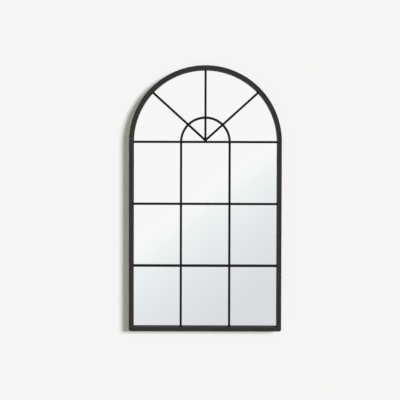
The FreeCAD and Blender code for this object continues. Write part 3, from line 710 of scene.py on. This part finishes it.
HEAD_RADIUS = 3.25 * MM
HEAD_HEIGHT = 1.8 * MM
HEAD_RIM = 0.8 * MM
SHANK_RADIUS = 1.75 * MM
SCREW_LENGTH = 9.5 * MM
POINT_LENGTH = 2.0 * MM
THREAD_PITCH = 1.3 * MM
THREAD_DEPTH = 0.35 * MM
RECESS_HALF_WIDTH = 0.47 * MM
RECESS_WALL = 0.10 * MM  # width over which the recess's side walls fall
RECESS_REACH = 1.75 * MM
RECESS_SLOPE = 1.1 * MM  # how far in from an arm's end its floor still falls
RECESS_DEPTH = 1.05 * MM
GOLDEN_ANGLE = math.radians(137.5)
FIRST_TURN = 0.4


def pan_head_screw(seat, turn):
    """A pan head screw along Y, its head towards +Y above the seat point, turned by an angle.

    Radius r and height h run from the middle of the head to the point, over every angle a.
    The dome is h = rim + (height - rim) * sqrt(1 - (r / R)^4). The cross recess sinks it
    where the smaller of |x| and |z| is under half an arm's width, less and less towards the
    arms' ends. The thread cuts the shank by the distance of h / pitch - a / 2 pi from the
    nearest whole number.
    """
    angle = np.linspace(0, 2 * np.pi, 72, endpoint=False)[None, :]
    top = np.linspace(0.04, 0.985, 26)[:, None] * HEAD_RADIUS
    dome = HEAD_RIM + (HEAD_HEIGHT - HEAD_RIM) * np.sqrt(1 - (top / HEAD_RADIUS) ** 4)
    x = top * np.cos(angle - turn)
    z = top * np.sin(angle - turn)
    arm = np.minimum(abs(x), abs(z))
    reach = np.maximum(abs(x), abs(z))
    within = np.clip((RECESS_HALF_WIDTH - arm) / RECESS_WALL + 0.5, 0, 1)
    fade = np.sqrt(np.clip((RECESS_REACH - reach) / RECESS_SLOPE, 0, 1))
    top_height = dome - RECESS_DEPTH * within * fade

    # From the head's rim over its rounded lower edge to its underside.
    rim_radius = np.array([3.25, 3.25, 3.15, 1.90])[:, None] * MM
    rim_height = np.array([0.75, 0.12, 0.0, 0.0])[:, None] * MM
    shank_height = np.linspace(0, POINT_LENGTH - SCREW_LENGTH, 40)[:, None]
    ridge = shank_height / THREAD_PITCH - angle / (2 * np.pi)
    groove = THREAD_DEPTH * (1 - 2 * abs(ridge - np.round(ridge)))
    point_height = np.linspace(POINT_LENGTH - SCREW_LENGTH, -SCREW_LENGTH, 6)[1:-1, None]
    taper = (point_height + SCREW_LENGTH) / POINT_LENGTH

    full = np.ones_like(angle)
    shank_radius = SHANK_RADIUS - groove
    point_radius = (SHANK_RADIUS - THREAD_DEPTH) * taper
    radius = np.concatenate([top * full, rim_radius * full, shank_radius, point_radius * full])
    height = np.concatenate(
        [top_height, rim_height * full, shank_height * full, point_height * full]
    )
    rings = np.stack([radius * np.cos(angle), height, radius * np.sin(angle)], axis=-1) + seat
    middle = np.array([0, top_height[0].mean(), 0]) + seat
    tip = np.array([0, -SCREW_LENGTH, 0]) + seat
    return capped(rings, middle, tip)


def clip_screw_seats():
    """Where each clip's screw head sits: on the clip, over the middle of the tube's back."""
    clip_sheet = 1.2 * MM
    corner_distance = 150 * MM
    spring_distance = 170 * MM
    lean = math.radians(25)
    middle = inner_half + tube_face / 2
    y = frame_back_y + clip_sheet
    low = rail_top_z + corner_distance
    high = spring_z - spring_distance
    spots = [(side * middle, z) for side in (-1, 1) for z in (low, (low + high) / 2, high)]
    rail_x = inner_half - corner_distance
    spots += [(side * rail_x, base_z + tube_face / 2) for side in (-1, 1)]
    for side in (-1, 1):
        spots.append((side * middle * math.sin(lean), spring_z + middle * math.cos(lean)))
    return [np.array([x, y, z]) for x, z in spots]


def hanger_screw_seats():
    """Two screws through each strap, 21 and 35 mm below the ring's axis."""
    strap_sheet = 1.0 * MM
    ring_axis_z = -13.25 * MM
    y = frame_back_y + strap_sheet
    middle = inner_half + tube_face / 2
    heights = [ring_axis_z - drop * MM for drop in (21, 35)]
    return [np.array([side * middle, y, z]) for side in (-1, 1) for z in heights]


def add_screws():
    """Each screw stops at an angle of its own, a golden angle on from the last."""
    groups = {"clip_screws": clip_screw_seats(), "hanger_screws": hanger_screw_seats()}
    for node, seats in groups.items():
        turns = [FIRST_TURN + GOLDEN_ANGLE * i for i in range(len(seats))]
        forms = [pan_head_screw(seat, turn) for seat, turn in zip(seats, turns)]
        piece = piece_from(f"{node}_pan_head", forms, BRIGHT_ZINC)
        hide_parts(node)


add_screws()


# ---------------------------------------------------------------- welds

SPOKE_ANGLES = (42.2, 90.0, 180.0 - 42.2)
HUB_RISE = 7.5 * MM
WELD_RADIUS = 1.6 * MM

# A bead's outlines from the glass to the front: how far each lies behind the bar's front,
# but for the first, which is on the glass, and its share of the bead's full size.
BEAD_DEPTHS = (1.0 * MM, 0.5 * MM, 0.3 * MM)
BEAD_SHARES = (1.0, 1.0, 0.82, 0.5)


def weld_bead(corner, along, beside):
    """A hollow-faced bead that fills the corner between two faces met by a bar.

    The corner is a point in X and Z, and the two faces leave it along two unit vectors with
    the angle w between them. The hollow is an arc of the weld's radius that touches both,
    with its middle on the bisector at radius / sin(w / 2). The bead draws in near its front.
    """
    corner = np.array(corner)
    along = np.array(along)
    beside = np.array(beside)
    if along[0] * beside[1] - along[1] * beside[0] < 0:
        along, beside = beside, along
    opening = math.acos(float(np.clip(along @ beside, -1, 1)))
    bisector = (along + beside) / np.linalg.norm(along + beside)
    middle = bisector * WELD_RADIUS / math.sin(opening / 2)
    touch = WELD_RADIUS / math.tan(opening / 2)
    swing = math.pi - opening
    share = np.linspace(0, 1, 9)[:, None]
    start = (along * touch - middle) * np.sin((1 - share) * swing)
    end = (beside * touch - middle) * np.sin(share * swing)
    hollow = middle + (start + end) / math.sin(swing)
    outline = np.concatenate([[[0, 0]], hollow])
    depths = np.array([glass_front_y] + [bar_front_y + depth for depth in BEAD_DEPTHS])
    spread = np.array(BEAD_SHARES)[:, None, None]
    flat = corner + outline[None] * spread
    deep = np.broadcast_to(depths[:, None, None], flat.shape[:2] + (1,))
    rings = np.concatenate([flat[..., :1], deep, flat[..., 1:]], axis=-1)
    return capped(rings)


def pane_corners():
    """Square corners where the straight bars meet the frame and each other."""
    corners = []
    rows = [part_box(name) for name in ("cross_bar_lower", "cross_bar_upper", "spring_bar")]
    columns = [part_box(name) for name in ("upright_bar_left", "upright_bar_right")]
    for low, high in rows:
        for side in (-1, 1):
            for z, way in ((low.z, -1), (high.z, 1)):
                corners.append(((side * inner_half, z), (-side, 0), (0, way)))
    for low, high in columns:
        for x, side in ((low.x, -1), (high.x, 1)):
            corners.append(((x, rail_top_z), (side, 0), (0, 1)))
            corners.append(((x, spring_low.z), (side, 0), (0, -1)))
            for row_low, row_high in rows[:2]:
                corners.append(((x, row_low.z), (side, 0), (0, -1)))
                corners.append(((x, row_high.z), (side, 0), (0, 1)))
    for side in (-1, 1):
        for reach, way in ((-bar_width / 2, -1), (bar_width / 2, 1)):
            foot = (side * (fan_radius + reach), spring_high.z)
            corners.append((foot, (side * way, 0), (0, 1)))
    return corners


def fan_corners():
    """Corners where the spokes cross the fan's arch and end on the frame's.

    A spoke's edge starts beside the hub and meets a circle about the middle of the spring
    line where the distance t along it solves t^2 + 2 b t + c = 0.
    """
    corners = []
    circles = [(fan_radius - bar_width / 2, -1), (fan_radius + bar_width / 2, 1), (inner_half, -1)]
    for angle in np.radians(SPOKE_ANGLES):
        heading = np.array([math.cos(angle), math.sin(angle)])
        left = np.array([-heading[1], heading[0]])
        for side in (-1, 1):
            edge = np.array([0, HUB_RISE]) + left * side * bar_width / 2
            for radius, way in circles:
                b = edge @ heading
                t = -b + math.sqrt(b * b - edge @ edge + radius * radius)
                spot = edge + heading * t
                tangent = np.array([-spot[1], spot[0]]) / np.linalg.norm(spot) * side
                corners.append((spot + [0, spring_z], heading * way, tangent))
    return corners


def add_welds():
    """All beads are one piece, painted as the bars are."""
    beads = [weld_bead(*corner) for corner in pane_corners() + fan_corners()]
    piece_from("weld_beads", beads, BAR_COAT)


add_welds()
